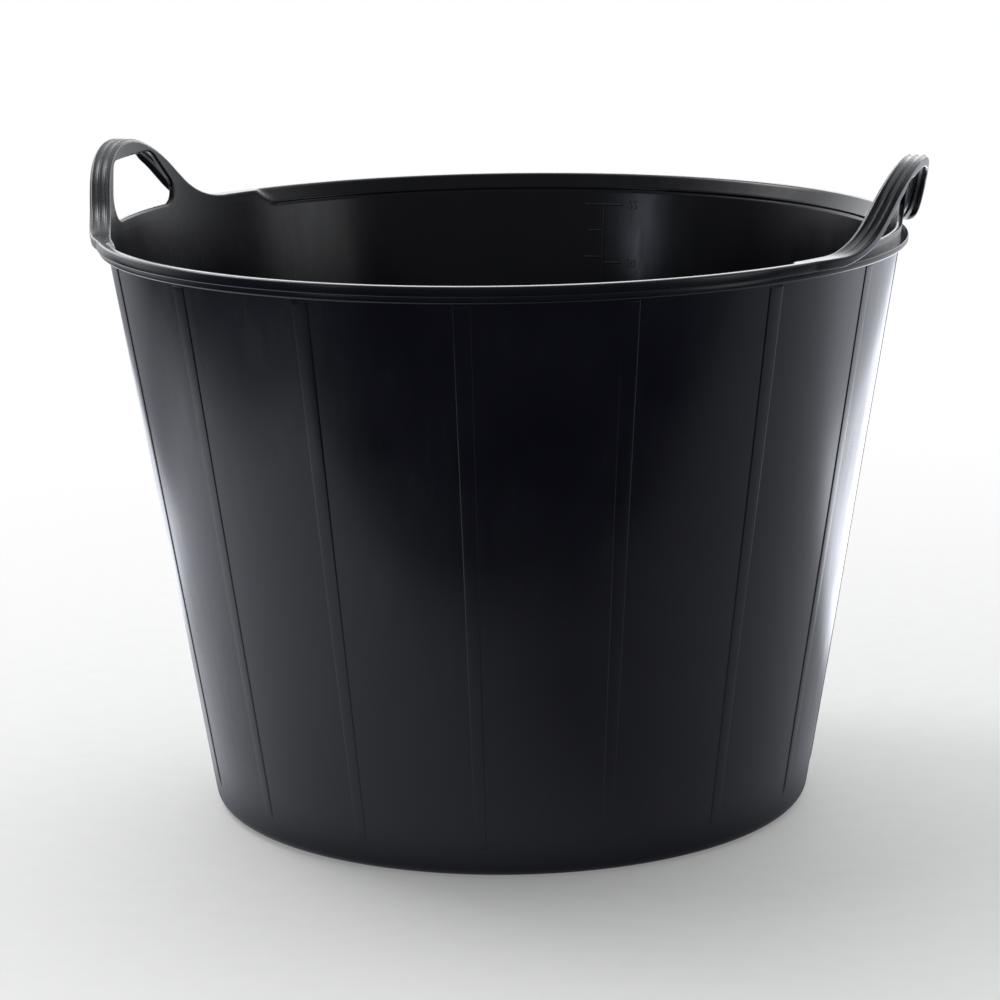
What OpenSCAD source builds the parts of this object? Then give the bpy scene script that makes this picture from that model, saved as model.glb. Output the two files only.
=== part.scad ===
// Flexible florist bucket: a conical tub moulded in one shot, with two loop handles.
// Millimetres, +Z up. The origin is the centre of the underside, on the floor.
// The handles stand on the +X (right) and -X (left) sides; the inside scale faces -Y from the +Y wall.
// The real tub is one moulding, so its functional regions are separate solids that meet face to face.

/* [Body] */
// Height from the floor to the top of the plain rim
body_h = 327; // [300:1:345]
// Outer radius of the wall, carried up to rim height
wall_top_r = 221.5; // [215:0.5:226]
// Outer radius of the wall, carried down to the floor
wall_base_r = 169; // [160:0.5:176]
// Horizontal wall thickness
wall_t = 3.2; // [2.6:0.1:4]
// Thickness of the bottom plate
floor_t = 3; // [2:0.5:5]
// Radius of the rounded corner between wall and underside
corner_r = 8.5; // [6:0.5:11]
// Height of the foot ring under the bottom plate
foot_h = 2; // [1:0.5:3]
// Radial width of the foot ring
foot_w = 10; // [6:1:16]

/* [Rim] */
// Outer radius of the upper rim band
rim_r = 227; // [225:0.5:229]
// Height of the upper rim band
rim_band_h = 5.5; // [4:0.5:7]
// Outer radius of the lower rim bead
bead_r = 225; // [224:0.5:226]
// Height of the lower rim bead
bead_h = 3.7; // [2.5:0.1:5]
// Height of the flare inside the mouth
flare_h = 8.5; // [7:0.5:10]
// How far the flare opens the mouth at the top
flare_w = 4; // [2:0.5:5]

/* [Wall strips] */
// Number of raised strips round the wall
strip_count = 16; // [16]
// Width of a strip at its top end
strip_top_w = 9.6; // [6:0.1:14]
// Width of a strip at its lower end
strip_low_w = 6.4; // [4:0.1:10]
// How far a strip stands proud of the wall
strip_proud = 0.5; // [0.4:0.1:1.5]
// Height of the lower end of the strips
strip_z0 = 16; // [14:1:60]

/* [Handles] */
// Height of the grip above the plain rim
grip_h = 41.5; // [39:0.5:46]
// Radius of the crown of the handle outline
crown_r = 67; // [62:1:72]
// Steepest slope of the handle outline, in degrees
leg_slope = 45; // [42:1:48]
// Radius of the sweep from handle leg into rim
foot_sweep_r = 47; // [42:1:52]
// Angle from the handle's middle to where it dies into the rim
root_angle = 28; // [27:0.5:31]
// How far the strap stands out from the web
strap_out = 9; // [7:0.5:11]
// Thickness of the strap
strap_t = 3; // [2.5:0.1:3.5]
// How far the lip hangs below the strap
lip_drop = 2.5; // [1.5:0.5:4]
// Thickness of the lip
lip_t = 2.4; // [1.8:0.1:3]

/* [Hand opening] */
// Height of the lower edge of the opening above the rim
opening_z0 = 1; // [0:0.5:3]
// Height of the upper edge of the opening above the rim
opening_z1 = 33; // [31:0.5:34]
// Centre of the lower corner round, from the middle
opening_low_y = 34; // [32:0.5:36]
// Radius of the lower corner
opening_low_r = 9; // [7:0.5:10]
// Centre of the upper corner round, from the middle
opening_high_y = 21; // [19:0.5:26]
// Radius of the upper corner
opening_high_r = 13; // [11:0.5:14]

/* [Grip ridges] */
// Height of the ridges along the grip
ridge_h = 1.1; // [0.8:0.1:1.4]
// Width of a ridge
ridge_w = 2; // [1.5:0.1:2.4]
// Half length of a ridge, as an angle on the crown
ridge_half_angle = 38; // [25:1:42]

/* [Handle flex] */
// Distance of the flex line from the middle of the tub
flex_x = 214.5; // [213:0.5:216]
// Height of the flex line above the rim
flex_z = 4.5; // [4:0.5:5]
// Radius of the round end of each handle leg about the flex line
flex_r = 9.5; // [9:0.5:10]
// Clearance around the round leg ends
flex_gap = 0.4; // [0.3:0.1:0.6]
// Inner end of a leg, from the middle of the handle
leg_y0 = 38; // [37:0.5:39]
// Outer end of a leg, from the middle of the handle
leg_y1 = 70; // [69:0.5:71]

/* [Inside scale] */
// Volume at the top line, in litres
top_litres = 35; // [30:1:36]
// Litres between the marks on the right
litre_step = 5; // [5:5:10]
// Litres in an imperial gallon
gallon = 4.54609; // [3.785:0.00001:4.547]
// Gallons between the marks on the left
gallon_step = 0.5; // [0.5:0.5:1]
// How far a mark stands proud of the inside wall
mark_proud = 0.5; // [0.3:0.1:0.8]
// Height of a mark, and width of the upright line
mark_w = 1.2; // [0.8:0.1:2]
// Length of a long mark
mark_len = 12; // [8:1:18]
// Length of a short mark, as a share of a long one
short_mark = 0.8; // [0.5:0.05:1]

/* [Hidden] */
$fn = 96;
// Degrees between two points of an arc
arc_step = 5;
// Reach of the volumes that cut out the handle pieces: along X, either way along Y, and down
cut_x0 = 150;
cut_x1 = 270;
cut_y = 120;
cut_z0 = 290;
// How far a cutting volume runs past what it cuts
over = 1;

slope = (wall_top_r - wall_base_r) / body_h;
floor_z = foot_h + floor_t;
corner_c = wall_base_r + slope * corner_r - corner_r * sqrt(1 + slope * slope);
wall_top_z = body_h - flare_h;
band_z = body_h - rim_band_h;
bead_z = band_z - bead_h;
strip_z1 = bead_z - 1;
flex_height = body_h + flex_z;
crown_z = body_h + grip_h - crown_r;
leg_run = (grip_h - (crown_r + foot_sweep_r) * (1 - cos(leg_slope))) / tan(leg_slope);
sweep_y = (crown_r + foot_sweep_r) * sin(leg_slope) + leg_run;
top_z = body_h + grip_h + 5 * over;
open_low_z = body_h + opening_z0 + opening_low_r;
open_high_z = body_h + opening_z1 - opening_high_r;
open_run = [opening_high_y - opening_low_y, open_high_z - open_low_z];
open_tilt = atan2(open_run[1], open_run[0]) - acos((opening_low_r - opening_high_r) / norm(open_run));
rubber = "#25262a";
rubber_light = "#34363b";
mark_grey = "#4a4c52";

STRIPS = [for (i = [1:strip_count]) str("wall_strip_", i)];
SIDES = ["left", "right"];
BODY = ["base_floor", "foot_ring", "wall_shell", "rim_bead", "rim_band_front", "rim_band_back"];
ROOTS = ["left_root_front", "left_root_back", "right_root_front", "right_root_back"];
HANDLES = [for (s = SIDES, p = ["_sill", "_web", "_strap", "_lip", "_ridges"]) str(s, p)];
SCALE = ["scale_line", "litre_marks", "gallon_marks"];

// Radius of the outer and inner wall surface at a height
function outer_r(z) = wall_base_r + slope * z;
function inner_r(z) = outer_r(z) - wall_t;

// Points of an arc from angle a0 to a1
function arc(c, r, a0, a1) = let (n = ceil(abs(a1 - a0) / arc_step))
    [for (i = [0:n]) let (a = a0 + (a1 - a0) * i / n) [c[0] + r * cos(a), c[1] + r * sin(a)]];

// Height of the liquid that holds a volume in litres: the wall's frustum solved for its height
function fill_z(litres) = let (r0 = inner_r(floor_z))
    floor_z + (pow(pow(r0, 3) + 3 * slope * litres * 1e6 / PI, 1 / 3) - r0) / slope;

// Half outline of the handle, d inside its top surface: crown, leg, sweep into the rim
function half_outline(d) = concat(
    arc([0, crown_z], crown_r - d, 90, 90 - leg_slope),
    arc([sweep_y, body_h + foot_sweep_r], foot_sweep_r + d, 270 - leg_slope, 270));

// Region under the handle outline, down to a level
module under_outline(d, low_z) {
    half = half_outline(d);
    right = concat(half, [[cut_y, body_h - d], [cut_y, low_z]]);
    left = [for (i = [len(right) - 1:-1:0]) [-right[i][0], right[i][1]]];
    polygon(concat(right, left));
}

// The hand opening: a trapezoid with round corners
module opening_outline() {
    right = concat(
        arc([opening_low_y, open_low_z], opening_low_r, -90, open_tilt),
        arc([opening_high_y, open_high_z], opening_high_r, open_tilt, 90));
    left = [for (i = [len(right) - 1:-1:0]) [-right[i][0], right[i][1]]];
    polygon(concat(right, left));
}

// Stands a (y, z) outline up and pushes it out along +X
module radial_prism() {
    translate([cut_x0, 0, 0]) rotate([90, 0, 90]) linear_extrude(height = cut_x1 - cut_x0) children();
}

// Block on the +X side between two places along Y and two levels
module side_block(y0, y1, z0, z1) {
    translate([cut_x0, y0, z0]) cube([cut_x1 - cut_x0, y1 - y0, z1 - z0]);
}

// Conical shell round +X between two offsets from the outer wall surface
module cone_shell(in_off, out_off, z0, z1, half_angle) {
    rotate_extrude(angle = 2 * half_angle, start = -half_angle)
        polygon([[outer_r(z0) + in_off, z0], [outer_r(z0) + out_off, z0],
            [outer_r(z1) + out_off, z1], [outer_r(z1) + in_off, z1]]);
}

// The round leg ends about the flex line, grown by a clearance
module leg_ends(grow) {
    for (side = [-1, 1])
        translate([flex_x, side * (leg_y0 + leg_y1) / 2, flex_height])
            rotate([90, 0, 0])
                cylinder(h = leg_y1 - leg_y0 + 2 * grow, r = flex_r + grow, center = true);
}

// Everything above the flex line, with the round leg ends
module moving_zone() {
    union() {
        side_block(-cut_y, cut_y, flex_height, top_z);
        leg_ends(0);
    }
}

// ---- body ----

module base_floor() {
    color(rubber) translate([0, 0, foot_h]) cylinder(h = floor_t, r = corner_c - foot_w, $fn = 180);
}

module foot_ring() {
    color(rubber) rotate_extrude()
        translate([corner_c - foot_w, 0]) square([foot_w, floor_z]);
}

// Conical wall with the rounded lower corner
module wall_shell() {
    corner_end = -atan(slope);
    color(rubber) rotate_extrude() polygon(concat(
        [[corner_c, floor_z]],
        arc([corner_c, corner_r], corner_r, -90, corner_end),
        [[outer_r(wall_top_z), wall_top_z], [inner_r(wall_top_z), wall_top_z], [inner_r(floor_z), floor_z]]));
}

// One raised strip on the wall, narrower towards the bottom
module wall_strip(i) {
    angle = 360 / strip_count * (i - 0.5);
    half_angle = 3;
    color(rubber_light) rotate([0, 0, angle]) intersection() {
        cone_shell(0, strip_proud, strip_z0, strip_z1, half_angle);
        radial_prism() polygon([
            [-strip_low_w / 2, strip_z0 - over], [strip_low_w / 2, strip_z0 - over],
            [strip_top_w / 2, strip_z1 + over], [-strip_top_w / 2, strip_z1 + over]]);
    }
}

// ---- rim ----

// Lower ring, all the way round and on below both handles
module rim_bead() {
    nose = 1;
    color(rubber) rotate_extrude() polygon([
        [outer_r(bead_z), bead_z], [bead_r - nose, bead_z], [bead_r, bead_z + nose],
        [bead_r, band_z], [outer_r(band_z), band_z]]);
}

// Section of the plain rim: the flared mouth and the upper band
module rim_section() {
    nose = 0.8;
    polygon([
        [inner_r(wall_top_z), wall_top_z], [outer_r(wall_top_z), wall_top_z], [outer_r(band_z), band_z],
        [rim_r, band_z], [rim_r, body_h - nose], [rim_r - nose, body_h],
        [inner_r(body_h) + flare_w, body_h]]);
}

module rim_band(turn) {
    half_angle = 90 - root_angle;
    color(rubber) rotate([0, 0, turn])
        rotate_extrude(angle = 2 * half_angle, start = -half_angle) rim_section();
}

// ---- handles, drawn on the +X side ----

// The part of the +Y side that lies outside the moving leg
module root_side() {
    side_block(leg_y1 + flex_gap, cut_y, cut_z0, top_z);
}

// Root of a leg: the strap narrows into the upper band of the rim, on the +Y side
module handle_root() {
    start_angle = asin(leg_y1 / rim_r) - 1;
    start_r = outer_r(body_h) + strap_out;
    end_r = rim_r + 1;
    steps = 8;
    taper = [for (i = [0:steps]) let (a = start_angle + (root_angle - start_angle) * i / steps,
        r = start_r + (end_r - start_r) * pow(i / steps, 2)) [r * cos(a), r * sin(a)]];
    color(rubber) union() {
        intersection() {
            cone_shell(-wall_t, strap_out + 2 * over, band_z, top_z, root_angle);
            linear_extrude(height = top_z) polygon(concat([[0, 0]], taper));
            radial_prism() under_outline(0, cut_z0);
            root_side();
        }
        intersection() {
            cone_shell(-wall_t, 0, wall_top_z, band_z, root_angle);
            root_side();
        }
    }
}

// Web under the hand opening, between the roots
module handle_sill() {
    color(rubber) difference() {
        intersection() {
            cone_shell(-wall_t, 0, wall_top_z, top_z, root_angle);
            radial_prism() under_outline(0, cut_z0);
            side_block(-leg_y1 - flex_gap, leg_y1 + flex_gap, cut_z0, flex_height);
        }
        leg_ends(flex_gap);
        radial_prism() opening_outline();
    }
}

// Web of the moving handle: the two legs and the arch over the hand opening
module handle_web() {
    color(rubber) difference() {
        intersection() {
            cone_shell(-wall_t, 0, wall_top_z, top_z, root_angle);
            radial_prism() under_outline(0, cut_z0);
            moving_zone();
        }
        radial_prism() opening_outline();
    }
}

// Region between two depths below the handle outline
module outline_band(d0, d1) {
    difference() {
        under_outline(d0, cut_z0);
        under_outline(d1, cut_z0 - over);
    }
}

// Strap that stands out from the web and carries the hand
module handle_strap() {
    color(rubber_light) intersection() {
        cone_shell(0, strap_out, band_z, top_z, root_angle);
        radial_prism() outline_band(0, strap_t);
        moving_zone();
    }
}

// Lip that stiffens the outer edge of the strap
module handle_lip() {
    color(rubber) intersection() {
        cone_shell(strap_out - lip_t, strap_out, band_z, top_z, root_angle);
        radial_prism() outline_band(strap_t, strap_t + lip_drop);
        moving_zone();
    }
}

// Three ridges along the crown of the strap
module handle_ridges() {
    gap = (strap_out + wall_t) / 3;
    color(rubber_light) for (i = [0:2]) {
        mid = -wall_t + gap * (i + 0.5);
        intersection() {
            cone_shell(mid - ridge_w / 2, mid + ridge_w / 2, body_h, top_z, root_angle);
            radial_prism() difference() {
                polygon(concat([[0, crown_z]], arc([0, crown_z], crown_r + ridge_h,
                    90 - ridge_half_angle, 90 + ridge_half_angle)));
                under_outline(0, cut_z0);
            }
        }
    }
}

// Puts a right-hand piece on one side of the tub
module on_side(side) {
    rotate([0, 0, side == "left" ? 180 : 0]) children();
}

// ---- inside scale on the +Y wall ----

// One mark on the inside wall: an arc from distance u0 to u1 along the wall, towards +X
module wall_mark(u0, u1, z0, z1) {
    r = inner_r(z1);
    a0 = 90 - u1 / r * 180 / PI;
    a1 = 90 - u0 / r * 180 / PI;
    rotate_extrude(angle = a1 - a0, start = a0) polygon([
        [inner_r(z0) - mark_proud, z0], [inner_r(z0), z0],
        [inner_r(z1), z1], [inner_r(z1) - mark_proud, z1]]);
}

module scale_line() {
    color(mark_grey)
        wall_mark(-mark_w / 2, mark_w / 2, fill_z(litre_step) - mark_w, fill_z(top_litres) + mark_w / 2);
}

module litre_marks() {
    color(mark_grey) for (v = [litre_step:litre_step:top_litres]) {
        z = fill_z(v);
        wall_mark(mark_w / 2, mark_len, z - mark_w / 2, z + mark_w / 2);
    }
}

// Every other gallon mark is the long one
module gallon_marks() {
    count = floor((top_litres - litre_step) / (gallon * gallon_step));
    color(mark_grey) for (i = [0:count]) {
        z = fill_z(top_litres - i * gallon * gallon_step);
        length = i % 2 == 0 ? mark_len : mark_len * short_mark;
        wall_mark(-length, -mark_w / 2, z - mark_w / 2, z + mark_w / 2);
    }
}

base_floor();
foot_ring();
wall_shell();
rim_bead();
rim_band(-90);  // rim_band_front
rim_band(90);  // rim_band_back
handle_root();  // right_root_back
mirror([0, 1, 0]) handle_root();  // right_root_front
on_side("left") handle_root();  // left_root_front
mirror([1, 0, 0]) handle_root();  // left_root_back
for (side = SIDES) {
    on_side(side) handle_sill();
    on_side(side) handle_web();
    on_side(side) handle_strap();
    on_side(side) handle_lip();
    on_side(side) handle_ridges();
}
scale_line();
litre_marks();
gallon_marks();
for (i = [1:strip_count])
    wall_strip(i);
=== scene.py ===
"""Looks of the florist bucket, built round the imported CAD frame.

Metres, +Z up, handles on +X and -X, the inside scale on +Y.
"""

import math

import bmesh
import bpy
import numpy as np
from mathutils import Matrix, Vector


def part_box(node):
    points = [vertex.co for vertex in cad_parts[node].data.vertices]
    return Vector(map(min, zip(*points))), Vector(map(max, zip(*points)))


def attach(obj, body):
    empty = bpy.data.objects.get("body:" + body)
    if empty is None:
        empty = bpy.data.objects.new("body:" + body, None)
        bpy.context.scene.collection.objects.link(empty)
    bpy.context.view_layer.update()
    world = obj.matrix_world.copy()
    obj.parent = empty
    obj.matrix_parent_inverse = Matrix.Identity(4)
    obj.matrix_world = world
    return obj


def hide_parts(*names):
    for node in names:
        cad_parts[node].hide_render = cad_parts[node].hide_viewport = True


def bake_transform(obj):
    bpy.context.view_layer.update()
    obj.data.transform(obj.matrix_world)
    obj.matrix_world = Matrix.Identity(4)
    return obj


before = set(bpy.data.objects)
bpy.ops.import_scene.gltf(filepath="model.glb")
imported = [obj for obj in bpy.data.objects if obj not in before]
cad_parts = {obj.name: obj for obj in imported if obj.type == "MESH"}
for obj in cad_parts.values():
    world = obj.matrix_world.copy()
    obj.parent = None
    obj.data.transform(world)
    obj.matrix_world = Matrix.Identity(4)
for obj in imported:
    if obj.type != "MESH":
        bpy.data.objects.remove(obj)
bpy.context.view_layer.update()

MM = 0.001

# ---- sizes, from the frame ----
ROOT_ANGLE = math.radians(28)
BAND_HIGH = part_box("rim_band_front")[1]
BEAD_LOW, BEAD_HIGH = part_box("rim_bead")
WALL_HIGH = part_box("wall_shell")[1]
FOOT_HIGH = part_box("foot_ring")[1]
PLATE_LOW, PLATE_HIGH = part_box("base_floor")
STRIP_LOW, STRIP_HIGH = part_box("wall_strip_1")
GRIP_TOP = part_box("right_strap")[1].z
STRIP_COUNT = sum(name.startswith("wall_strip_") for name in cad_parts)

RIM_TOP = BAND_HIGH.z
RIM_R = BAND_HIGH.x / math.cos(ROOT_ANGLE)
BEAD_Z = BEAD_LOW.z
BAND_Z = BEAD_HIGH.z
BEAD_R = BEAD_HIGH.x
FLARE_Z = WALL_HIGH.z
FLARE_H = RIM_TOP - FLARE_Z
FLOOR_Z = FOOT_HIGH.z
PLATE_Z = PLATE_LOW.z
CORNER_C = FOOT_HIGH.x
PLATE_R = PLATE_HIGH.x

# ---- sizes that the frame's boxes don't say ----
BASE_R = 169 * MM
WALL_T = 3.2 * MM
CORNER_R = 8.5 * MM
FLOOR_FILLET = 5.5 * MM
FLARE_W = 4 * MM
FLARE_END = math.radians(30.2)
FLARE_SLANT = math.radians(2.6)
FLARE_FADE = math.radians(0.9)
GROOVE_DEPTH = 0.5 * MM
WAVE_HEIGHT = 0.22 * MM
SLOPE = (WALL_HIGH.x - BASE_R) / FLARE_Z
LEAN = math.atan(SLOPE)
COS_LEAN = math.cos(LEAN)
COLUMNS = 480

# Handle outline and hand opening, as in the CAD
CROWN_R = 67 * MM
SWEEP_R = 47 * MM
LEG_SLOPE = math.radians(45)
GRIP_H = GRIP_TOP - RIM_TOP
CROWN_Z = GRIP_TOP - CROWN_R
LEG_RUN = (GRIP_H - (CROWN_R + SWEEP_R) * (1 - math.cos(LEG_SLOPE))) / math.tan(LEG_SLOPE)
SWEEP_Y = (CROWN_R + SWEEP_R) * math.sin(LEG_SLOPE) + LEG_RUN
OPEN_Z0 = RIM_TOP + 1 * MM
OPEN_Z1 = RIM_TOP + 33 * MM
OPEN_LOW_Y = 34 * MM
OPEN_LOW_R = 9 * MM
OPEN_HIGH_Y = 21 * MM
OPEN_HIGH_R = 13 * MM
STRAP_OUT = 9 * MM
STRAP_T = 3 * MM
LIP_T = 2.4 * MM
LIP_DROP = 2.5 * MM
RIDGE_COUNT = 3
RIDGE_H = 1.1 * MM
RIDGE_W = 2 * MM

# Distances along y over which the handle's features change from grip to root
RIDGES_END = (46 * MM, 84 * MM)
LIP_ENDS = (60 * MM, 84 * MM)
STRAP_THICKENS = (66 * MM, 90 * MM)
TAPER_START, TAPER_RUN = math.radians(17), math.radians(11)

# Handle as a distance field
ARC_R = 228 * MM                    # turns a distance run along the wall into an angle
HANDLE_HALF = math.radians(30)      # where the handle ends, either side of its middle
FIELD_DIP = 2.4 * MM                # how far the field goes on below the upper rim band
OVERLAP = 0.05 * MM                 # how much rim and handle thin out where they overlap
EDGE_R = 1.0 * MM
OPEN_EDGE_R = 1.2 * MM
STRAP_FILLET = 1.3 * MM
PROBE = 0.03 * MM                   # step for the field's slope

# Inside scale
TOP_LITRES, LITRE_STEP, LITRE = 35, 5, 1e-3
GALLON, GALLON_STEP = 4.54609, 0.5
MARK_W, MARK_LEN, MARK_PROUD = 1.2 * MM, 12 * MM, 0.5 * MM
MARK_JOIN = 0.3 * MM

CAMERA_AZIMUTH = math.radians(16.9)


# ---- small helpers ----

def outer_r(z):
    """Radius of the wall's outer surface at a height."""
    return BASE_R + SLOPE * z


def inner_r(z):
    """Radius of the wall's inner surface at a height."""
    return outer_r(z) - WALL_T


def ramp01(x, low, high):
    """Smooth step from 0 at low to 1 at high."""
    t = np.clip((x - low) / (high - low), 0, 1)
    return t * t * (3 - 2 * t)


def arc(cx, cy, r, a0, a1, steps):
    """Points of an arc, angles in degrees, as (steps + 1, 2)."""
    a = np.radians(np.linspace(a0, a1, steps + 1))
    return np.stack([cx + r * np.cos(a), cy + r * np.sin(a)], 1)


def wave(theta, z):
    """Slight unevenness of the soft moulding, none at the rim or the foot."""
    low, high = 30 * MM, FLARE_Z - 20 * MM
    hold = np.clip((z - low) / (high - low), 0, 1) * np.clip((high - z) / (high - low), 0, 1) * 4
    swell = (np.sin(3 * theta + 9 * z) + 0.7 * np.sin(5 * theta - 14 * z + 1.3)
             + 0.5 * np.sin(8 * theta + 21 * z))
    return WAVE_HEIGHT * hold * swell


def handle_angle(theta):
    """Angle round the axis from the nearer handle's middle, 0 to 90 degrees, in radians."""
    return np.arccos(np.clip(np.abs(np.cos(theta)), 0, 1))


def flare(theta, z):
    """How far the mouth opens inside: a band that ends at a slant by the handles."""
    rise = np.clip((z - FLARE_Z) / FLARE_H, 0, 1)
    end = FLARE_END + FLARE_SLANT * (1 - rise)
    return ramp01(handle_angle(theta), end, end + FLARE_FADE) * FLARE_W * rise


def groove(theta, z):
    """Shallow line under the flared band."""
    centre, half = FLARE_Z - 0.8 * MM, 1.1 * MM
    bump = np.clip(1 - ((z - centre) / half) ** 2, 0, 1)
    end = FLARE_END + FLARE_SLANT
    return GROOVE_DEPTH * bump * ramp01(handle_angle(theta), end, end + FLARE_FADE)


def mesh_object(name, points, faces, sharp=40):
    """An object from points and faces, facing outward, with edges over `sharp` degrees shaded sharp."""
    mesh = bpy.data.meshes.new(name)
    mesh.from_pydata([tuple(p) for p in points], [], [tuple(f) for f in faces])
    bm = bmesh.new()
    bm.from_mesh(mesh)
    bmesh.ops.remove_doubles(bm, verts=bm.verts, dist=1e-7)
    bmesh.ops.recalc_face_normals(bm, faces=bm.faces)
    bm.to_mesh(mesh)
    bm.free()
    mesh.shade_smooth()
    mesh.set_sharp_from_angle(angle=math.radians(sharp))
    obj = bpy.data.objects.new(name, mesh)
    bpy.context.scene.collection.objects.link(obj)
    return obj


def grid_faces(rows, cols, wrap_rows, wrap_cols):
    """Quads over a grid of rows x cols points."""
    i = np.arange(rows if wrap_rows else rows - 1)
    j = np.arange(cols if wrap_cols else cols - 1)
    i, j = np.meshgrid(i, j, indexing="ij")
    a = i * cols + j
    b = i * cols + (j + 1) % cols
    c = ((i + 1) % rows) * cols + (j + 1) % cols
    d = ((i + 1) % rows) * cols + j
    return np.stack([a, b, c, d], -1).reshape(-1, 4).tolist()


def polar(r, theta, z):
    """Points from radius, angle and height."""
    return np.stack([r * np.cos(theta), r * np.sin(theta), z], -1)


def lathe(name, r, z, theta, closed_ring, closed_section=True):
    """Section points (rows) carried round the axis (columns); r and z are (rows, columns)."""
    rows, cols = r.shape
    points = polar(r, np.broadcast_to(theta, r.shape), z).reshape(-1, 3)
    faces = grid_faces(rows, cols, closed_section, closed_ring)
    if not closed_ring:
        faces.append([k * cols for k in range(rows)])
        faces.append([k * cols + cols - 1 for k in range(rows)])
    return mesh_object(name, points, faces)


def full_turn():
    """Angles all the way round the tub."""
    return np.linspace(0, 2 * math.pi, COLUMNS, endpoint=False)


# ---- body of the tub ----

def wall():
    """The conical wall with its rounded lower corner, up to the level of the upper rim band."""
    theta = full_turn()[None, :]
    lean = math.degrees(LEAN)
    corner = arc(CORNER_C, CORNER_R, CORNER_R, -90, -lean, 10)
    outer_z = np.linspace(corner[-1, 1], BAND_Z, 34)[1:]
    by_groove = np.array([3.0, 2.2, 1.4, 0.7, 0.0, -0.2, -0.5, -0.8, -1.1, -1.4, -1.9, -2.6, -4]) * MM
    fillet_z = FLOOR_Z + FLOOR_FILLET
    fillet_r = inner_r(fillet_z) - FLOOR_FILLET / COS_LEAN
    fillet = arc(fillet_r, fillet_z, FLOOR_FILLET, -lean, -90, 8)
    inner_z = np.concatenate([FLARE_Z + by_groove,
                              np.linspace(FLARE_Z - 10 * MM, fillet[0, 1], 30)[:-1]])
    ones = np.ones_like(theta)
    outer = outer_r(outer_z)[:, None] + wave(theta, outer_z[:, None])
    inner = (inner_r(inner_z)[:, None] + wave(theta, inner_z[:, None])
             + flare(theta, inner_z[:, None]) + groove(theta, inner_z[:, None]))
    last = np.array([[CORNER_C, FLOOR_Z]])
    r = np.concatenate([corner[:, :1] * ones, outer, inner,
                        fillet[:, :1] * ones, last[:, :1] * ones])
    z = np.concatenate([corner[:, 1], outer_z, inner_z, fillet[:, 1], last[:, 1]])[:, None] * ones
    return lathe("wall", r, z, theta, True)


def strip_section(width):
    """Across a strip: offsets from its middle, and the share of its height there."""
    edge = 0.8 * MM
    steps = np.array([0, 0.06, 0.15, 0.3, 0.5, 0.75, 1.0])
    half = np.concatenate([-width / 2 + steps * edge, [0], width / 2 - steps[::-1] * edge])
    inset = np.clip((width / 2 - np.abs(half)) / edge, 0, 1)
    return half, np.sqrt(1 - (1 - inset) ** 2)


def wall_strip(index):
    """One raised strip on the wall, narrower towards the bottom, with rounded edges and ends."""
    top_w, low_w, proud, sunk = 9.6 * MM, 6.4 * MM, 0.45 * MM, 0.3 * MM
    low_run, top_run = 8 * MM, 1.6 * MM
    middle = 2 * math.pi / STRIP_COUNT * (index - 0.5)
    z0, z1 = STRIP_LOW.z, STRIP_HIGH.z
    z = np.concatenate([z0 + np.array([0, 0.4, 1, 2, 3.5, 5.5, 8]) * MM,
                        np.linspace(z0 + 12 * MM, z1 - 6 * MM, 36),
                        z1 - np.array([3, 1.6, 0.8, 0.3, 0]) * MM])
    low_end = np.clip((z - z0) / low_run, 0, 1)
    top_end = np.clip((z1 - z) / top_run, 0, 1)
    end = np.sqrt(1 - (1 - low_end) ** 2) * np.sqrt(1 - (1 - top_end) ** 2)
    width = low_w + (top_w - low_w) * (z - z0) / (z1 - z0)
    rows = []
    for level, w, share in zip(z, width, end):
        offset, height = strip_section(w)
        angle = middle + offset / outer_r(level)
        r = outer_r(level) + wave(angle, level) - sunk + (proud + sunk) * height * share
        rows.append(polar(r, angle, np.full_like(r, level)))
    points = np.array(rows)
    count = points.shape[1]
    faces = grid_faces(len(z), count, False, True)
    faces.append(list(range(count)))
    faces.append([(len(z) - 1) * count + k for k in range(count)])
    return mesh_object("strip_%02d" % index, points.reshape(-1, 3), faces)


def base():
    """Bottom plate and foot ring: gate mark and shallow rings below, slightly domed inside."""
    edge, dome_h, dome_r = 0.8 * MM, 0.5 * MM, 150 * MM
    gate = [(0, 1.3), (2.2, 1.3), (2.9, 1.5), (3.2, 2.0), (3.4, 2.4), (9.6, 2.4), (10, 2.3), (10.4, 2.0)]
    ring = [(0, 2.0), (0.5, 1.7), (1, 1.6), (2, 1.6), (2.5, 1.7), (3, 2.0)]
    under = gate + [(start + step, z) for start in (40, 110) for step, z in ring]
    under = np.array(under) * MM
    under = np.concatenate([under, [[PLATE_R - 1.2 * MM, PLATE_Z]],
                            arc(PLATE_R - 1.2 * MM, PLATE_Z - edge, edge, 90, 0, 4)[1:],
                            arc(PLATE_R + 0.4 * MM, edge, edge, 180, 270, 4), [[CORNER_C, 0]]])
    over_r = np.array([160, 150, 146, 142, 130, 115, 100, 80, 60, 40, 20, 8]) * MM
    dome = dome_h * np.clip(1 - (over_r / dome_r) ** 2, 0, 1) ** 2
    over = np.stack([over_r, FLOOR_Z + dome], 1)
    section = np.concatenate([under, [[CORNER_C, FLOOR_Z]], over, [[0, FLOOR_Z + dome_h]]])
    theta = full_turn()[None, ::2]
    ones = np.ones_like(theta)
    return lathe("base", section[:, :1] * ones, section[:, 1:] * ones, theta, True, False)


# ---- rim ----

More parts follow.
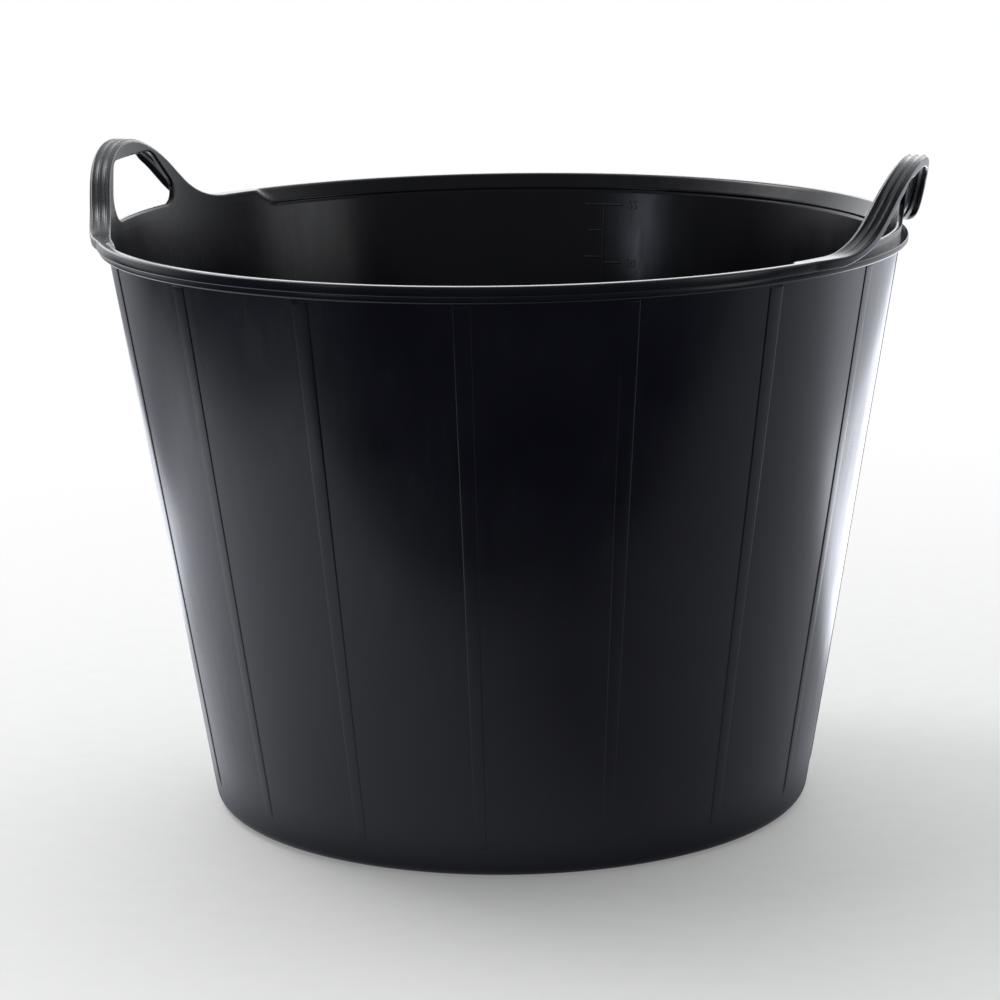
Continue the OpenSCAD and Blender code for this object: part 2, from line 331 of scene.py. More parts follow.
def rim_bead():
    """Lower ring of the rim, all the way round and on below the hand openings."""
    theta = full_turn()[None, :]
    low, high, fillet = 1.3 * MM, 0.5 * MM, 0.8 * MM
    sunk = outer_r(BEAD_Z) - 0.4 * MM
    section = np.concatenate([
        [[sunk, BEAD_Z - 0.7 * MM]],
        arc(outer_r(BEAD_Z) + fillet, BEAD_Z - fillet, fillet, 180, 90, 4),
        arc(BEAD_R - low, BEAD_Z + low, low, -90, 0, 6),
        arc(BEAD_R - high, BAND_Z - high, high, 0, 90, 4),
        [[sunk, BAND_Z]]])
    ones = np.ones_like(theta)
    return lathe("rim_bead", section[:, :1] * ones, section[:, 1:] * ones, theta, True)


def rim_arc(name, start):
    """Plain rim between the handles: upper band outside, flared mouth inside.

    Its ends shrink a little, so that they lie inside the handles' roots.
    """
    spread = math.pi - 2 * ROOT_ANGLE
    theta = np.linspace(start, start + spread, 170)[None, :]
    near_end = np.clip((HANDLE_HALF - handle_angle(theta)) / (HANDLE_HALF - ROOT_ANGLE), 0, 1)
    shrink = OVERLAP * near_end
    top, low, lip = 1.3 * MM, 0.8 * MM, 1.0 * MM
    ones = np.ones_like(theta)
    below = arc(RIM_R - low, BAND_Z + low, low, -90, 0, 5)
    above = arc(RIM_R - top, RIM_TOP - top, top, 0, 90, 7)
    outer = np.concatenate([below, above])
    r = [row[0] * ones - shrink for row in outer]
    z = [row[1] * ones - shrink * (row[1] > RIM_TOP - top) for row in outer]
    for share in np.linspace(0, 1, 6):
        angle = math.pi / 2 * share
        level = RIM_TOP - lip + lip * math.cos(angle)
        mouth = inner_r(level) + flare(theta, level)
        r.append(mouth + lip * (1 - math.sin(angle)) + shrink)
        z.append(level * ones - shrink * (1 - share))
    for level in np.linspace(RIM_TOP - lip, BAND_Z, 7)[1:]:
        r.append(inner_r(level) + flare(theta, level) + shrink)
        z.append(level * ones)
    return lathe(name, np.concatenate(r), np.concatenate(z), theta, False)


# ---- handles, from a distance field over the cone (depth off the wall, run along it, height) ----

def round_and(a, b, r):
    """Both regions, with a round edge where they meet."""
    return np.minimum(-r, np.maximum(a, b)) + np.hypot(np.maximum(r + a, 0), np.maximum(r + b, 0))


def round_or(a, b, r):
    """Either region, with a fillet where they meet."""
    return np.maximum(r, np.minimum(a, b)) - np.hypot(np.maximum(r - a, 0), np.maximum(r - b, 0))


def outline(y, z):
    """Signed distance above the handle's outline: crown, straight leg, sweep into the rim."""
    side, rise = math.sin(LEG_SLOPE), math.cos(LEG_SLOPE)
    crown = np.hypot(y, z - CROWN_Z) - CROWN_R
    leg = (y - CROWN_R * side) * side + (z - CROWN_Z - CROWN_R * rise) * rise
    sweep = SWEEP_R - np.hypot(SWEEP_Y - y, RIM_TOP + SWEEP_R - z)
    d = np.where(y < z - CROWN_Z, crown, leg)
    d = np.where((SWEEP_Y - y < RIM_TOP + SWEEP_R - z) & (y >= z - CROWN_Z), sweep, d)
    return np.where(y > SWEEP_Y, z - RIM_TOP, d)


def opening(y, z):
    """Signed distance outside the hand opening: a trapezoid with round corners."""
    low_z, high_z = OPEN_Z0 + OPEN_LOW_R, OPEN_Z1 - OPEN_HIGH_R
    run_y, run_z = OPEN_HIGH_Y - OPEN_LOW_Y, high_z - low_z
    lean = math.acos((OPEN_LOW_R - OPEN_HIGH_R) / math.hypot(run_y, run_z))
    tilt = math.atan2(run_z, run_y) - lean
    side = (y - OPEN_LOW_Y) * math.cos(tilt) + (z - low_z) * math.sin(tilt) - OPEN_LOW_R
    d = np.maximum(np.maximum(OPEN_Z0 - z, z - OPEN_Z1), side)
    at_low = np.arctan2(z - low_z, y - OPEN_LOW_Y)
    low = np.hypot(y - OPEN_LOW_Y, z - low_z) - OPEN_LOW_R
    d = np.where((at_low >= -math.pi / 2) & (at_low <= tilt), low, d)
    at_high = np.arctan2(z - high_z, y - OPEN_HIGH_Y)
    high = np.hypot(y - OPEN_HIGH_Y, z - high_z) - OPEN_HIGH_R
    return np.where((at_high >= tilt) & (at_high <= math.pi / 2), high, d)


def handle_field(off, run, z):
    """Negative inside the right-hand handle. off is the distance off the wall's outer surface."""
    r = outer_r(z) + off / COS_LEAN
    theta = np.abs(run) / ARC_R
    y = r * np.sin(theta)
    inner = -WALL_T * COS_LEAN
    out = outline(y, z)
    # ridges along the grip, fading down the legs
    pitch = (STRAP_OUT + WALL_T) / RIDGE_COUNT
    ridge = np.zeros_like(out)
    for k in range(RIDGE_COUNT):
        mid = (-WALL_T + pitch * (k + 0.5)) * COS_LEAN
        ridge = np.maximum(ridge, np.clip(1 - np.abs(off - mid) / (0.62 * RIDGE_W), 0, 1))
    ridge = ridge * ridge * (3 - 2 * ridge)
    out = out - RIDGE_H * ridge * (1 - ramp01(y, *RIDGES_END))
    # strap, with the lip under its outer edge, narrowing into the rim band at the roots
    reach = STRAP_OUT * COS_LEAN
    taper = np.clip((theta - TAPER_START) / TAPER_RUN, 0, 1) ** 2
    face = (1 - taper) * (off - reach) + taper * (r - RIM_R)
    thick = STRAP_T + (RIM_TOP - BAND_Z - STRAP_T) * ramp01(y, *STRAP_THICKENS)
    lip_edge, lip_fade = reach - LIP_T, 0.8 * MM
    drop = LIP_DROP * (1 - ramp01(y, *LIP_ENDS))
    drop = drop * ramp01(off, lip_edge - lip_fade, lip_edge + lip_fade)
    strap = round_and(-out - thick - drop, face, EDGE_R)
    solid = round_or(off, strap, STRAP_FILLET)
    solid = round_and(solid, out, EDGE_R)
    solid = round_and(solid, inner - off, EDGE_R)
    solid = round_and(solid, -opening(y, z), OPEN_EDGE_R)
    solid = solid + OVERLAP * np.clip((theta - ROOT_ANGLE) / (HANDLE_HALF - ROOT_ANGLE), 0, 1)
    return np.maximum(solid, np.maximum(BAND_Z - FIELD_DIP - z, np.abs(run) - HANDLE_HALF * ARC_R))


def surface_net(field, axes):
    """Points and quads of a field's zero surface: one point in each cell that the surface crosses."""
    inside = field < 0
    n = np.array(field.shape) - 1
    total = np.zeros(tuple(n) + (3,))
    count = np.zeros(tuple(n))
    cell = tuple(slice(0, k) for k in n)
    for axis in range(3):
        near = [slice(None)] * 3
        far = [slice(None)] * 3
        near[axis], far[axis] = slice(0, -1), slice(1, None)
        a, b = field[tuple(near)], field[tuple(far)]
        cross = (a < 0) != (b < 0)
        t = np.where(cross, a / np.where(cross, a - b, 1), 0)
        others = [k for k in range(3) if k != axis]
        for i in (0, 1):
            for j in (0, 1):
                pick = [slice(None)] * 3
                pick[others[0]] = slice(i, i + n[others[0]])
                pick[others[1]] = slice(j, j + n[others[1]])
                hit = cross[tuple(pick)]
                count += hit
                total[cell + (axis,)] += np.where(hit, t[tuple(pick)], 0)
                total[cell + (others[0],)] += hit * i
                total[cell + (others[1],)] += hit * j
    active = count > 0
    index = np.full(tuple(n), -1)
    index[active] = np.arange(active.sum())
    where = np.argwhere(active)
    local = total[active] / count[active][:, None]
    steps = [axis[1] - axis[0] for axis in axes]
    points = np.stack([axes[k][0] + (where[:, k] + local[:, k]) * steps[k] for k in range(3)], 1)
    quads = []
    for axis in range(3):
        u, v = [k for k in range(3) if k != axis]
        near = [slice(1, -1)] * 3
        far = [slice(1, -1)] * 3
        near[axis], far[axis] = slice(0, -1), slice(1, None)
        hits = np.argwhere(inside[tuple(near)] != inside[tuple(far)])
        hits[:, u] += 1
        hits[:, v] += 1
        corner = []
        for i, j in ((0, 0), (1, 0), (1, 1), (0, 1)):
            c = hits.copy()
            c[:, u] -= i
            c[:, v] -= j
            corner.append(index[c[:, 0], c[:, 1], c[:, 2]])
        quads.append(np.stack(corner, 1))
    return points, np.concatenate(quads)


def settle(points):
    """Moves points onto the handle's surface along the field's slope."""
    rounds, cap, least_slope = 4, 0.4 * MM, 0.5
    for _ in range(rounds):
        value = handle_field(*points.T)
        slope = np.empty_like(points)
        for k in range(3):
            shift = np.zeros(3)
            shift[k] = PROBE
            ahead, behind = handle_field(*(points + shift).T), handle_field(*(points - shift).T)
            slope[:, k] = (ahead - behind) / (2 * PROBE)
        move = value[:, None] * slope / np.maximum((slope ** 2).sum(1), least_slope ** 2)[:, None]
        size = np.linalg.norm(move, axis=1)
        move *= np.minimum(1, cap / np.maximum(size, 1e-9))[:, None]
        points = points - move
    return points


def handle_shape():
    """Points and quads of the right-hand handle in the tub's own frame."""
    end = HANDLE_HALF * ARC_R + 1.35 * MM
    steps = (0.5 * MM, 0.9 * MM, 0.7 * MM)
    spans = ((-WALL_T - 1 * MM, STRAP_OUT + 1.5 * MM), (-end, end),
             (BAND_Z - FIELD_DIP - 1.5 * MM, GRIP_TOP + 3 * MM))
    axes = [np.arange(a, b, s) for (a, b), s in zip(spans, steps)]
    off, run, z = np.meshgrid(*axes, indexing="ij")
    points, quads = surface_net(handle_field(off, run, z), axes)
    points = settle(points)
    off, run, z = points.T
    theta = run / ARC_R
    return polar(outer_r(z) + off / COS_LEAN, theta, z), quads


def outward(points):
    """Unit normals of the right-hand handle at points of the tub's own frame."""
    def value(place):
        x, y, z = place.T
        return handle_field((np.hypot(x, y) - outer_r(z)) * COS_LEAN, np.arctan2(y, x) * ARC_R, z)

    shifts = PROBE * np.eye(3)
    slope = np.stack([value(points + shift) - value(points - shift) for shift in shifts], 1)
    return slope / np.maximum(np.linalg.norm(slope, axis=1), 1e-12)[:, None]


def handle(name, shape, turn):
    """One handle, cut flat at the foot of the upper rim band, with its normals from the field."""
    points, quads = shape
    c, s = round(math.cos(turn)), round(math.sin(turn))
    spin = np.array([[c, s, 0], [-s, c, 0], [0, 0, 1]])
    obj = mesh_object(name, points @ spin, quads.tolist(), sharp=60)
    bm = bmesh.new()
    bm.from_mesh(obj.data)
    cut = bmesh.ops.bisect_plane(bm, geom=bm.verts[:] + bm.edges[:] + bm.faces[:], dist=1e-6,
                                 plane_co=(0, 0, BAND_Z), plane_no=(0, 0, -1), clear_outer=True)
    edges = [e for e in cut["geom_cut"] if isinstance(e, bmesh.types.BMEdge)]
    bmesh.ops.holes_fill(bm, edges=edges, sides=0)
    bmesh.ops.recalc_face_normals(bm, faces=bm.faces)
    bm.to_mesh(obj.data)
    bm.free()
    place = np.array([vertex.co for vertex in obj.data.vertices])
    obj.data.normals_split_custom_set_from_vertices((outward(place @ spin.T) @ spin).tolist())
    return obj


# ---- inside scale ----

def on_inner_wall(u, height, z):
    """A point u along the wall from the middle of the +Y side towards +X, raised off the wall."""
    r = inner_r(z)
    return polar(r - height, math.pi / 2 - u / r, z)


def raised_bar(u0, u1, z0, z1):
    """Points and quads of a round-edged bar on the inner wall."""
    edge, sunk = 0.5 * MM, 0.3 * MM
    share = np.array([0, 0.08, 0.25, 0.5, 1.0])

    def stations(a, b):
        inside = np.linspace(a + edge, b - edge, max(2, int((b - a) / (3 * MM)) + 1))
        return np.concatenate([a + share[:-1] * edge, inside, b - share[-2::-1] * edge])

    u, z = np.meshgrid(stations(u0, u1), stations(z0, z1), indexing="ij")
    to_edge = np.minimum(np.minimum(u - u0, u1 - u), np.minimum(z - z0, z1 - z))
    rise = np.sqrt(1 - (1 - np.clip(to_edge / edge, 0, 1)) ** 2)
    top = on_inner_wall(u, -sunk + (MARK_PROUD + sunk) * rise, z)
    rows, cols = u.shape
    points = top.reshape(-1, 3)
    faces = grid_faces(rows, cols, False, False)
    rim = list(range(cols)) + [i * cols + cols - 1 for i in range(1, rows)]
    rim += [(rows - 1) * cols + k for k in range(cols - 2, -1, -1)]
    rim += [i * cols for i in range(rows - 2, 0, -1)]
    faces.append(rim)
    return points, faces


def bars(name, specs):
    """One piece made of several bars."""
    points, faces = [], []
    for u0, u1, z0, z1 in specs:
        bar_points, bar_faces = raised_bar(u0, u1, z0, z1)
        first = len(points)
        points.extend(bar_points.tolist())
        faces.extend([[k + first for k in face] for face in bar_faces])
    return mesh_object(name, points, faces)


def fill_z(litres):
    """Height that a volume of liquid reaches in the tub."""
    r0 = inner_r(FLOOR_Z)
    return FLOOR_Z + ((r0 ** 3 + 3 * SLOPE * litres * LITRE / math.pi) ** (1 / 3) - r0) / SLOPE


def litre_levels():
    """Each litre mark's volume and height."""
    return [(v, fill_z(v)) for v in range(LITRE_STEP, TOP_LITRES + 1, LITRE_STEP)]


def scale_line():
    """The scale's upright line."""
    low, high = fill_z(LITRE_STEP), fill_z(TOP_LITRES)
    return bars("scale_upright", [(-MARK_W / 2, MARK_W / 2, low - MARK_W, high + MARK_W / 2)])


def litre_marks():
    """Marks on the scale's right, one every five litres."""
    half = MARK_W / 2
    start = half - MARK_JOIN
    return bars("litre_bars", [(start, MARK_LEN, z - half, z + half) for _, z in litre_levels()])


def gallon_marks():
    """Marks on the scale's left, one every half gallon, each second one shorter."""
    half = MARK_W / 2
    count = int((TOP_LITRES - LITRE_STEP) / (GALLON * GALLON_STEP))
    specs = []
    for i in range(count + 1):
        z = fill_z(TOP_LITRES - i * GALLON * GALLON_STEP)
        length = MARK_LEN * (1 if i % 2 == 0 else 0.8)
        specs.append((-length, MARK_JOIN - half, z - half, z + half))
    return bars("gallon_bars", specs)


def litre_numbers():
    """Plain numerals beside the litre marks, raised on the inner wall."""
    size, gap, thick, bevel = 7 * MM, 2.5 * MM, 0.35 * MM, 0.12 * MM
    pieces = []
    for value, z in litre_levels():
        curve = bpy.data.curves.new("numeral", "FONT")
        curve.body = str(value)
        curve.size = size
        curve.extrude = thick
        curve.bevel_depth = bevel
        curve.offset = -0.05 * MM
        curve.resolution_u = 4
        text = bpy.data.objects.new("numeral", curve)
        bpy.context.scene.collection.objects.link(text)
        bpy.context.view_layer.update()
        evaluated = text.evaluated_get(bpy.context.evaluated_depsgraph_get())
        mesh = bpy.data.meshes.new_from_object(evaluated)
        bm = bmesh.new()
        bm.from_mesh(mesh)
        long_edges = [e for e in bm.edges if e.calc_length() > 1.5 * MM]
        bmesh.ops.subdivide_edges(bm, edges=long_edges, cuts=2)
        bm.to_mesh(mesh)
        bm.free()
        middle = max(v.co.y for v in mesh.vertices) / 2
        for vertex in mesh.vertices:
            across, up, out = np.array(vertex.co, dtype=float)
            vertex.co = on_inner_wall(MARK_LEN + gap + across, out, z + up - middle)
        bpy.data.objects.remove(text)
        pieces.append(bpy.data.objects.new("numeral", mesh))
    joined = bmesh.new()
    for piece in pieces:
        joined.from_mesh(piece.data)
        bpy.data.objects.remove(piece)
    bmesh.ops.remove_doubles(joined, verts=joined.verts, dist=1e-6)
    bmesh.ops.recalc_face_normals(joined, faces=joined.faces)
    mesh = bpy.data.meshes.new("litre_numbers")
    joined.to_mesh(mesh)
    joined.free()
    mesh.shade_smooth()
    mesh.set_sharp_from_angle(angle=math.radians(35))
    obj = bpy.data.objects.new("litre_numbers", mesh)
    bpy.context.scene.collection.objects.link(obj)
    return obj


# ---- materials ----

SCUFF_TONE = (0.06, 0.062, 0.066, 1)
DUST_TONE = (0.10, 0.098, 0.092, 1)


class Nodes:
    """Short way to add shader nodes to a material or world."""

    def __init__(self, tree):
        self.tree = tree
        tree.nodes.clear()

    def add(self, kind, settings=None, **inputs):
        """A node with some of its settings and inputs given."""
        made = self.tree.nodes.new("ShaderNode" + kind)
        for key, value in (settings or {}).items():
            setattr(made, key, value)
        for key, value in inputs.items():
            self.put(made, key.replace("_", " "), value)
        return made

    def put(self, node, socket, value):
        """Links a socket or sets a constant; the socket is given by name, or by number as "#0"."""
        target = node.inputs[int(socket[1:])] if socket[0] == "#" else node.inputs[socket]
        if isinstance(value, bpy.types.NodeSocket):
            self.tree.links.new(value, target)
        else:
            target.default_value = value

    def math(self, operation, a, b):
        """a and b put together by a Math node."""
        made = self.tree.nodes.new("ShaderNodeMath")
        made.operation = operation
        self.put(made, "#0", a)
        self.put(made, "#1", b)
        return made.outputs[0]

    def plus(self, base, value, factor):
        """Base with value times factor added."""
        return self.math("ADD", base, self.math("MULTIPLY", value, factor))

    def noise(self, vector, scale, detail=3.0, roughness=0.5, stretch=(1, 1, 1)):
        """Noise, drawn out along the axes where stretch is below 1."""
        spot = self.add("Mapping", Vector=vector, Scale=stretch).outputs[0]
        made = self.add("TexNoise", Vector=spot, Scale=scale, Detail=detail, Roughness=roughness)
        return made.outputs[0]

    def remap(self, value, low, high, to_low=0.0, to_high=1.0, smooth=False):
        """Value carried from low...high to to_low...to_high, held at both ends."""
        made = self.add("MapRange", {"interpolation_type": "SMOOTHSTEP" if smooth else "LINEAR"})
        for k, v in enumerate((value, low, high, to_low, to_high)):
            self.put(made, "#%d" % k, v)
        return made.outputs[0]

    def smooth(self, value, low, high):
        """Smooth step from 0 at low to 1 at high."""
        return self.remap(value, low, high, smooth=True)

    def mix(self, factor, a, b):
        """Colour a, going over to colour b as the factor rises."""
        made = self.add("Mix", {"data_type": "RGBA"})
        self.put(made, "#0", factor)
        self.put(made, "#6", a)
        self.put(made, "#7", b)
        return made.outputs[2]


def polyethylene(name, tone, rough, dust, scuff):
    """Black flexible polyethylene: cloudy gloss, upright flow lines, fine grain, scuffs, dust."""
    material = bpy.data.materials.new(name)
    material.use_nodes = True
    n = Nodes(material.node_tree)
    place = n.add("TexCoord").outputs["Object"]
    cloud = n.noise(place, 13.0, 4.0, 0.55)
    flow = n.noise(place, 150.0, 2.0, 0.5, (1, 1, 0.05))
    grain = n.noise(place, 1500.0, 3.0, 0.6)
    swell = n.noise(place, 10.0, 1.0, 0.4, (1, 1, 0.6))
    # scratches that run up the wall, and rubbed spots
    scratch = n.remap(n.noise(place, 330.0, 1.0, 0.4, (1, 1, 0.06)), 0.68, 0.74)
    rub = n.remap(n.noise(place, 260.0, 1.0, 0.4, (0.5, 0.5, 0.9)), 0.72, 0.78)
    marks = n.math("MULTIPLY", n.math("MAXIMUM", scratch, n.math("MULTIPLY", rub, 0.6)), scuff)
    specks = n.remap(n.noise(place, 420.0, 2.0, 0.6), 0.62, 0.8, 0.0, dust)
    darker = [c * 0.82 for c in tone] + [1]
    lighter = [c * 1.22 for c in tone] + [1]
    colour = n.mix(n.remap(cloud, 0.3, 0.7), darker, lighter)
    colour = n.mix(n.math("MULTIPLY", marks, 0.08), colour, SCUFF_TONE)
    colour = n.mix(specks, colour, DUST_TONE)
    gloss = n.remap(cloud, 0.3, 0.7, rough - 0.04, rough + 0.05)
    gloss = n.math("ADD", gloss, n.remap(flow, 0.3, 0.7, -0.025, 0.025))
    gloss = n.plus(gloss, marks, 0.12)
    ripple = n.add("Bump", Strength=0.5, Distance=0.6 * MM, Height=swell)
    lines = n.add("Bump", Strength=0.05, Distance=0.15 * MM, Height=flow,
                  Normal=ripple.outputs[0])
    skin = n.add("Bump", Strength=0.16, Distance=0.05 * MM, Height=grain,
                 Normal=lines.outputs[0])
    worn = n.add("Bump", {"invert": True}, Strength=0.25, Distance=0.04 * MM, Height=marks,
                 Normal=skin.outputs[0])
    surface = n.add("BsdfPrincipled", Base_Color=colour, Roughness=gloss, IOR=1.5,
                    Normal=worn.outputs[0])
    n.add("OutputMaterial", Surface=surface.outputs[0])
    return material


# ---- pieces ----

# slot: material, tone, roughness, dust, scuffs
LOOKS = {
    "tub_wall": ("black_wall", (0.0042, 0.0046, 0.0098), 0.23, 0.008, 0.08),
    "tub_base": ("black_base", (0.0065, 0.007, 0.0085), 0.38, 0.10, 1.0),
    "wall_strips": ("black_strips", (0.0042, 0.0046, 0.0098), 0.23, 0.008, 0.08),
    "rim": ("black_rim", (0.0046, 0.0052, 0.0098), 0.22, 0.012, 0.2),
    "handles": ("black_handles", (0.005, 0.0058, 0.0092), 0.26, 0.01, 0.12),
    "scale_marks": ("black_marks", (0.032, 0.034, 0.042), 0.2, 0.01, 0.1),
}
MATERIALS = {slot: polyethylene(*look) for slot, look in LOOKS.items()}


def finish_piece(obj, slot, *nodes):
    """Gives a piece the material of its slot, and hides the CAD nodes that it stands for."""
    obj.data.materials.append(MATERIALS[slot])
    if nodes:
        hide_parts(*nodes)


def tub_piece(obj, slot, *nodes):
    """A piece that rides on the tub."""
    finish_piece(obj, slot, *nodes)
    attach(obj, "tub")


tub_piece(wall(), "tub_wall", "wall_shell")
tub_piece(base(), "tub_base", "base_floor", "foot_ring")
tub_piece(rim_bead(), "rim", "rim_bead")
tub_piece(rim_arc("rim_front", math.pi + ROOT_ANGLE), "rim", "rim_band_front")
tub_piece(rim_arc("rim_back", ROOT_ANGLE), "rim", "rim_band_back")
for number in range(1, STRIP_COUNT + 1):
    tub_piece(wall_strip(number), "wall_strips", "wall_strip_%d" % number)
tub_piece(scale_line(), "scale_marks", "scale_line")
tub_piece(litre_marks(), "scale_marks", "litre_marks")
tub_piece(gallon_marks(), "scale_marks", "gallon_marks")
tub_piece(litre_numbers(), "scale_marks")

HANDLE_NODES = ("_web", "_strap", "_lip", "_ridges", "_sill", "_root_front", "_root_back")
HANDLE_SHAPE = handle_shape()
for side, turn in (("right", 0.0), ("left", math.pi)):
    piece = handle("handle_" + side, HANDLE_SHAPE, turn)
    finish_piece(piece, "handles", *[side + end for end in HANDLE_NODES])
    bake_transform(piece)


# ---- studio ----

def turned(x, y, z):
    """A point given with the camera on -Y, turned to the camera's azimuth."""
    c, s = math.cos(CAMERA_AZIMUTH), math.sin(CAMERA_AZIMUTH)
    return Vector((c * x - s * y, s * x + c * y, z))


def camera():
    """The photo's view, as fitted to the outlines of rim, wall and base."""
    distance, height, lens, sensor = 1.9014, 0.5931, 123.28, 36
    pan, down, roll = (math.radians(a) for a in (0.13, 12.590, -0.9116))
    data = bpy.data.cameras.new("camera")
    data.sensor_width = sensor
    data.lens = lens
    obj = bpy.data.objects.new("camera", data)
    bpy.context.scene.collection.objects.link(obj)
    obj.matrix_world = (Matrix.Translation(turned(0, -distance, height))
                        @ Matrix.Rotation(CAMERA_AZIMUTH + pan, 4, "Z")
                        @ Matrix.Rotation(math.pi / 2 - down, 4, "X")
                        @ Matrix.Rotation(roll, 4, "Z"))
    bpy.context.scene.camera = obj


OTHER_RAYS = ["diffuse", "transmission", "volume_scatter", "shadow"]


def stage_piece(name, mesh, material_name, unseen_by):
    """A mesh of the studio with a material still empty, hidden from some kinds of ray."""
    obj = bpy.data.objects.new(name, mesh)
    bpy.context.scene.collection.objects.link(obj)
    material = bpy.data.materials.new(material_name)
    material.use_nodes = True
    mesh.materials.append(material)
    for ray in unseen_by:
        setattr(obj, "visible_" + ray, False)
    return obj, Nodes(material.node_tree)


def floor():
    """Pale floor that fades to a painted white glow away from the tub; reflections see table_glow
    instead.
    """
    half, count = 6, 25
    fade_centre, fade_start, fade_end = turned(0.09, 0, 0), 0.2, 0.98
    mesh = bpy.data.meshes.new("floor")
    cuts = np.linspace(-half, half, count)
    x, y = np.meshgrid(cuts, cuts, indexing="ij")
    points = np.stack([x, y, np.zeros_like(x)], -1).reshape(-1, 3)
    mesh.from_pydata(points.tolist(), [], grid_faces(count, count, False, False))
    obj, n = stage_piece("floor", mesh, "pale_floor", ["glossy"])
    place = n.add("TexCoord").outputs["Object"]
    away = n.add("VectorMath", {"operation": "DISTANCE"})
    n.put(away, "#0", place)
    n.put(away, "#1", fade_centre)
    # painted light: the floor goes over to white glow with distance from a point a little right of the
    # axis
    fade = n.remap(away.outputs["Value"], fade_start, fade_end, 0.2, 1.0)
    speckle = n.remap(n.noise(place, 60.0, 3.0), 0.3, 0.7)
    colour = n.mix(speckle, (0.88, 0.885, 0.86, 1), (0.91, 0.915, 0.89, 1))
    plain = n.add("BsdfPrincipled", Base_Color=colour, Roughness=0.7)
    white = n.add("Emission", Color=(1, 1, 1, 1), Strength=1.0)
    blend = n.add("MixShader")
    n.put(blend, "#0", fade)
    n.put(blend, "#1", plain.outputs[0])
    n.put(blend, "#2", white.outputs[0])
    n.add("OutputMaterial", Surface=blend.outputs[0])


def backdrop():
    """White surround, seen only directly."""
    radius = 12
    mesh = bpy.data.meshes.new("backdrop")
    bm = bmesh.new()
    bmesh.ops.create_icosphere(bm, subdivisions=3, radius=radius)
    bm.to_mesh(mesh)
    bm.free()
    obj, n = stage_piece("backdrop", mesh, "white_backdrop", ["glossy"] + OTHER_RAYS)
    glow = n.add("Emission", Color=(1, 1, 1, 1), Strength=1.0)
    n.add("OutputMaterial", Surface=glow.outputs[0])


def table_glow():
    """What the tub mirrors instead of the floor: a lit table painted as glow, with the tub's shadow
    painted on it, that ends in front and on the left.

    x and y are the table's, with the camera on -Y. Only reflections see it.
    """
    half, below = 1.7, 0.0005
    mesh = bpy.data.meshes.new("table_glow")
    mesh.from_pydata([(-half, -half, 0), (half, -half, 0), (half, half, 0), (-half, half, 0)],
                     [], [(0, 1, 2, 3)])
    obj, n = stage_piece("table_glow", mesh, "table_glow", ["camera"] + OTHER_RAYS)
    obj.matrix_world = Matrix.Translation((0, 0, -below)) @ Matrix.Rotation(CAMERA_AZIMUTH, 4, "Z")
    place = n.add("TexCoord").outputs["Object"]
    x, y, _ = n.add("SeparateXYZ", Vector=place).outputs
    # brightness over x from -1 to 1: bright on the left, darkest a little right of the middle, where the
    # tub's painted shadow falls towards the front right
    across = [(0.0, 0.85), (0.2, 0.84), (0.35, 0.66), (0.45, 0.40), (0.55, 0.13), (0.75, 0.25),
              (1.0, 0.3)]
    ramp = n.add("ValToRGB", Fac=n.remap(x, -1.0, 1.0))
    stops = ramp.color_ramp.elements
    while len(stops) < len(across):
        stops.new(0.5)
    for stop, (spot, grey) in zip(stops, across):
        stop.position = spot
        stop.color = (grey, grey, grey, 1)
    # brighter towards the back, with a patch behind on the right and one behind on the left
    level = n.plus(ramp.outputs[0], n.smooth(y, -0.42, 0.22), 0.42)
    back_right = n.math("MULTIPLY", n.smooth(y, 0.14, 0.32), n.smooth(x, 0.1, 0.35))
    near_middle = n.math("ADD", n.math("MULTIPLY", n.smooth(x, 0.78, 0.6), 1.9), 0.6)
    level = n.math("ADD", level, n.math("MULTIPLY", back_right, near_middle))
    back_left = n.math("MULTIPLY", n.smooth(y, 0.2, 0.4), n.smooth(x, -0.6, -0.46))
    level = n.plus(level, back_left, n.smooth(x, 0.1, -0.2))
    far_left = n.math("MULTIPLY", n.smooth(y, 0.2, 0.5), n.smooth(x, -0.48, -0.62))
    level = n.plus(level, far_left, -0.8)
    # the table ends on the left, at a slant, and in front, and has painted shade round the tub's foot
    slant = n.plus(x, y, 0.4)
    level = n.math("MULTIPLY", level, n.smooth(slant, -0.89, -0.74))
    level = n.math("MULTIPLY", level, n.smooth(y, -0.48, -0.4))
    # painted contact shadow: the glow dims close to the tub's foot
    away = n.add("VectorMath", {"operation": "LENGTH"})
    n.put(away, "#0", place)
    painted_contact_shade = n.math("MULTIPLY", n.smooth(away.outputs["Value"], 0.15, 0.215), 0.8)
    level = n.math("MULTIPLY", level, n.math("ADD", painted_contact_shade, 0.2))
    glow = n.add("Emission", Color=(0.94, 0.97, 1.06, 1), Strength=level)
    n.add("OutputMaterial", Surface=glow.outputs[0])


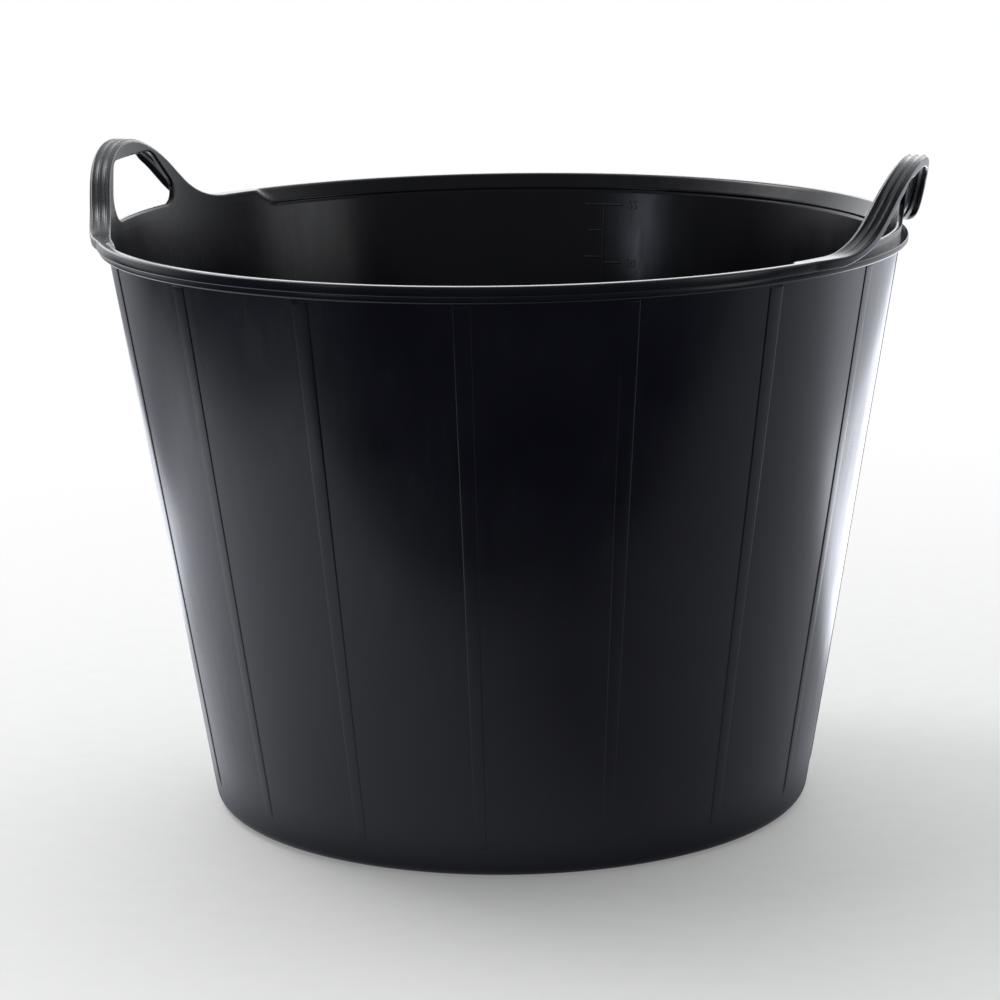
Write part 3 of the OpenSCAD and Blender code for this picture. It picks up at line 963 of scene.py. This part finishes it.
def studio_world():
    """Soft light from above and behind, dim on the camera's side, with two brighter places.

    x, y and z are directions, with the camera on -Y.
    """
    world = bpy.data.worlds.new("studio")
    bpy.context.scene.world = world
    world.use_nodes = True
    n = Nodes(world.node_tree)
    direction = n.add("Mapping", {"vector_type": "POINT"}, Rotation=(0, 0, -CAMERA_AZIMUTH),
                      Vector=n.add("TexCoord").outputs["Generated"]).outputs[0]
    _, y, z = n.add("SeparateXYZ", Vector=direction).outputs
    up = n.smooth(z, math.sin(math.radians(14)), math.sin(math.radians(60)))
    low = n.math("ADD", n.math("MULTIPLY", n.smooth(y, -0.1, 0.6), 0.9), 0.05)
    above = n.math("ADD", n.math("MULTIPLY", n.smooth(y, -0.3, 0.35), 1.1), 0.06)
    level = n.plus(n.math("MULTIPLY", low, n.math("SUBTRACT", 1.0, up)), up, above)
    level = n.plus(level, n.smooth(z, 0.0, 0.08), 0.09)
    # a bright wall behind, just above the horizon
    wall_light = n.math("MULTIPLY", n.smooth(z, 0.03, 0.12), n.smooth(z, 0.6, 0.3))
    wall_light = n.math("MULTIPLY", wall_light, n.smooth(y, 0.3, 0.75))
    level = n.plus(level, wall_light, 1.6)
    # a bright opening in front on the right
    toward = n.add("VectorMath", {"operation": "DOT_PRODUCT"})
    n.put(toward, "#0", direction)
    n.put(toward, "#1", Vector((0.9, -0.42, 0.14)).normalized())
    level = n.plus(level, n.smooth(toward.outputs["Value"], 0.955, 0.985), 1.35)
    glow = n.add("Background", Color=(0.97, 0.985, 1.0, 1), Strength=level)
    n.add("OutputWorld", Surface=glow.outputs[0])


def area_light(name, place, target, size, power, tint=(1, 1, 1)):
    """A round lamp aimed at a target, both given with the camera on -Y."""
    data = bpy.data.lights.new(name, "AREA")
    data.shape = "DISK"
    data.size = size
    data.energy = power
    data.color = tint
    obj = bpy.data.objects.new(name, data)
    bpy.context.scene.collection.objects.link(obj)
    obj.location = turned(*place)
    obj.rotation_euler = (obj.location - turned(*target)).to_track_quat("Z", "Y").to_euler()


bpy.context.scene.view_settings.view_transform = "Standard"
camera()
floor()
backdrop()
table_glow()
studio_world()
area_light("key", (-1.3, 0.9, 2.1), (0, 0, 0.1), 0.9, 14)
area_light("window", (-1.585, -1.5, 0.58), (0.1, 0.15, 0.3), 0.2, 1.1, (0.74, 0.82, 1.0))
